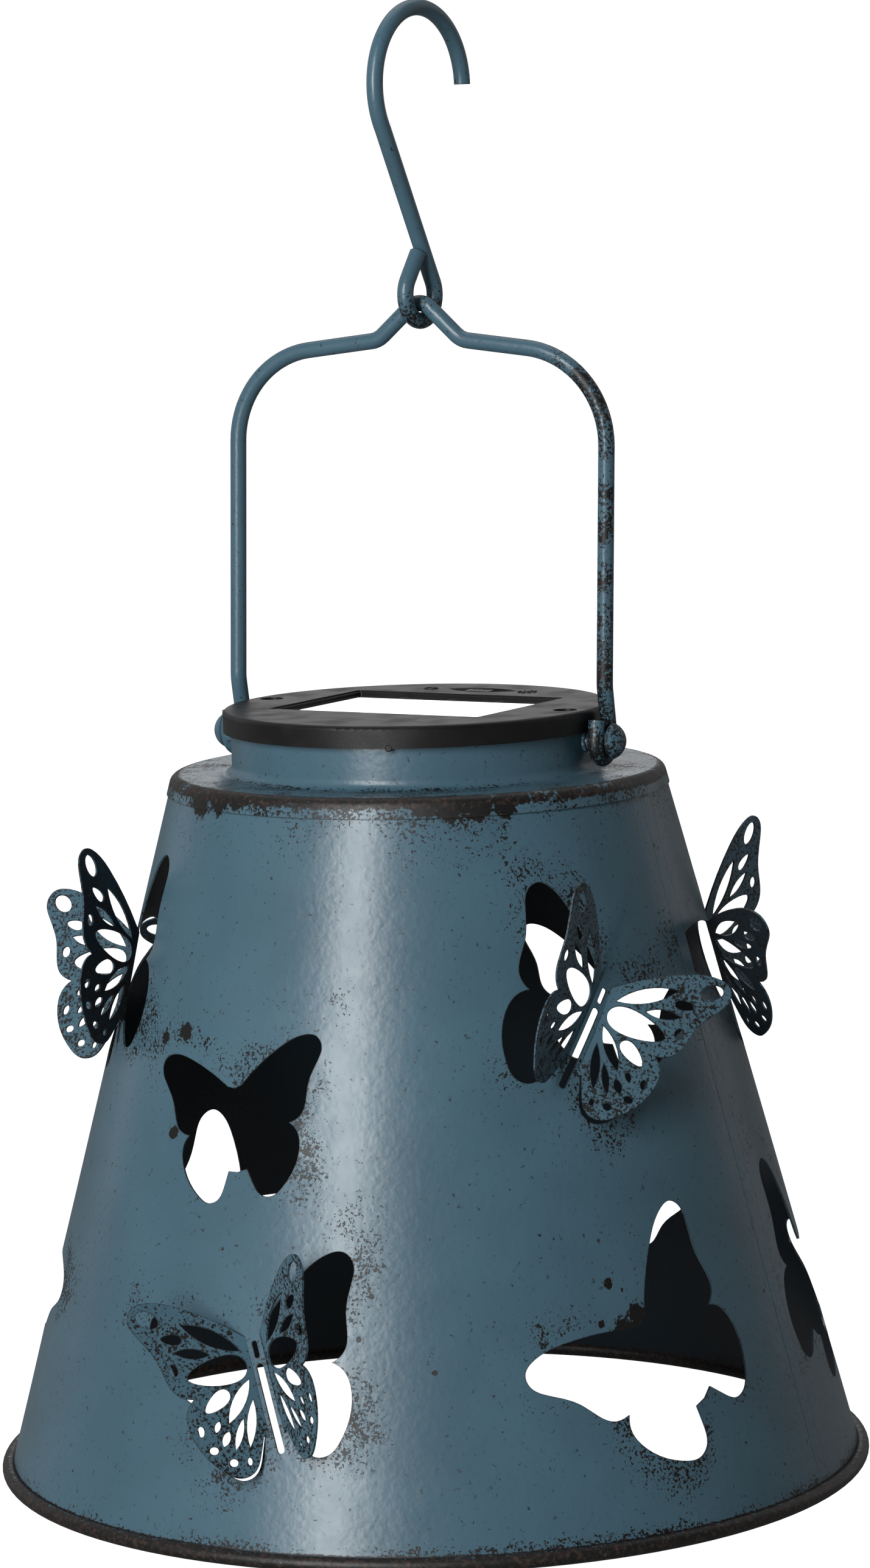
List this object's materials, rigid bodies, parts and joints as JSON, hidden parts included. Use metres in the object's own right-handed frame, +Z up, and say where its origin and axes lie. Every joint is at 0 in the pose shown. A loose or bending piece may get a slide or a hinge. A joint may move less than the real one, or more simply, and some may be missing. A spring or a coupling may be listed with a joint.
{
  "type": "solar lantern",
  "caption": "Hanging solar lantern: conical sheet-metal shade with butterfly cut-outs and raised butterflies, wire bail and swinging hook, round solar lamp module with a slide switch.",
  "frame": {"origin": "on the axis of the shade, in the plane that the rolled rim stands on", "axes": "+Z up along the shade's axis; +X along the line through the bail's two pivot studs"},
  "size_m": [0.2276, 0.2314, 0.379],
  "materials": {
    "blue_paint": "satin, worn",
    "bare_steel": "bare",
    "black_abs": "fine texture",
    "foam": "foam",
    "gasket_rubber": "matt",
    "solar_cell": "glossy",
    "grey_knob": "satin",
    "bright_screw": "plated",
    "cell_sleeve": "printed sleeve",
    "nickel": "nickel plated",
    "green_board": "solder mask",
    "component": "moulded",
    "led_white": "clear epoxy",
    "clear_lens": "clear",
    "red_wire": "PVC",
    "black_wire": "PVC"
  },
  "bodies": {
    "body": {"shade": "blue_paint", "rim_wire": "bare_steel", "top_cap": "blue_paint", "stud_left": "blue_paint", "stud_right": "blue_paint", "bracket_left": "bare_steel", "bracket_right": "bare_steel", "solar_lid": "black_abs", "panel_tape": "foam", "solar_panel": "solar_cell", "lid_gasket": "gasket_rubber", "switch_body": "black_abs", "lid_screws": "bright_screw", "lamp_housing": "black_abs", "housing_seal": "gasket_rubber", "housing_screws": "bright_screw", "battery_door": "black_abs", "door_screw": "bright_screw", "battery_cell": "cell_sleeve", "battery_spring": "nickel", "battery_contact": "nickel", "circuit_board": "green_board", "board_components": "component", "board_screws": "bright_screw", "led": "led_white", "led_lens": "clear_lens", "lead_red": "red_wire", "lead_black": "black_wire", "battery_lead_minus": "black_wire", "battery_lead_plus": "red_wire", "switch_lead_1": "red_wire", "switch_lead_2": "black_wire"},
    "bail": {"bail": "blue_paint"},
    "hook": {"hook": "blue_paint"},
    "switch": {"switch_slider": "grey_knob"}
  },
  "joints": [
    {"name": "bail_swing", "type": "hinge", "parent": "body", "child": "bail", "pos_m": [0, 0, 0.1907], "axis": [1, 0, 0], "range_deg": [-95, 95]},
    {"name": "hook_swing", "type": "hinge", "parent": "bail", "child": "hook", "pos_m": [0.00411, 0, 0.30203], "axis": [1, 0, 0], "range_deg": [-90, 90]},
    {"name": "switch_slide", "type": "slide", "parent": "body", "child": "switch", "axis": [0.9969, -0.0785, 0], "range_m": [0, 0.0024]}
  ]
}
